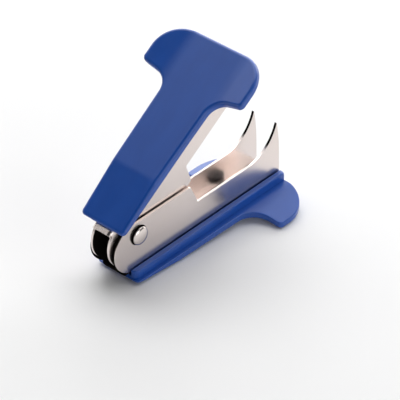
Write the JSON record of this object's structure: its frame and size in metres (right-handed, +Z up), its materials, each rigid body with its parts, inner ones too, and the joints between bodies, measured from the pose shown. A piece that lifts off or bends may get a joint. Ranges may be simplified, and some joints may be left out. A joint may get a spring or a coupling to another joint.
{
  "type": "staple remover",
  "caption": "Jaw-type staple remover: nested steel channels with curved claws, hinged at the rear, sprung open, with T-shaped plastic grips.",
  "frame": {"origin": "centre of the object's box on the plane it stands on, with the jaws open", "axes": "+X from the hinge to the claws, +Y across the jaws, +Z up from the plane through the lower grip's wing tips and crease"},
  "size_m": [0.07, 0.0368, 0.0571],
  "materials": {
    "grip_plastic": "navy blue moulded plastic, satin gloss",
    "jaw_steel": "bright nickel-plated stamped steel",
    "rivet_steel": "bright nickel-plated, formed dome heads",
    "spring_wire": "black oxide spring wire"
  },
  "bodies": {
    "lower": {"lower_jaw": "jaw_steel", "lower_cover": "grip_plastic", "hinge_rivet": "rivet_steel", "torsion_spring": "spring_wire"},
    "upper": {"upper_jaw": "jaw_steel", "upper_cover": "grip_plastic"}
  },
  "joints": [
    {"name": "jaw_hinge", "type": "hinge", "parent": "lower", "child": "upper", "pos_m": [-0.02456, 0, 0.01428], "axis": [0, 1, 0], "range_deg": [0, 33], "stiffness_Nm_per_rad": 0.26, "springref_deg": -11.46, "deforming": ["torsion_spring"]}
  ]
}
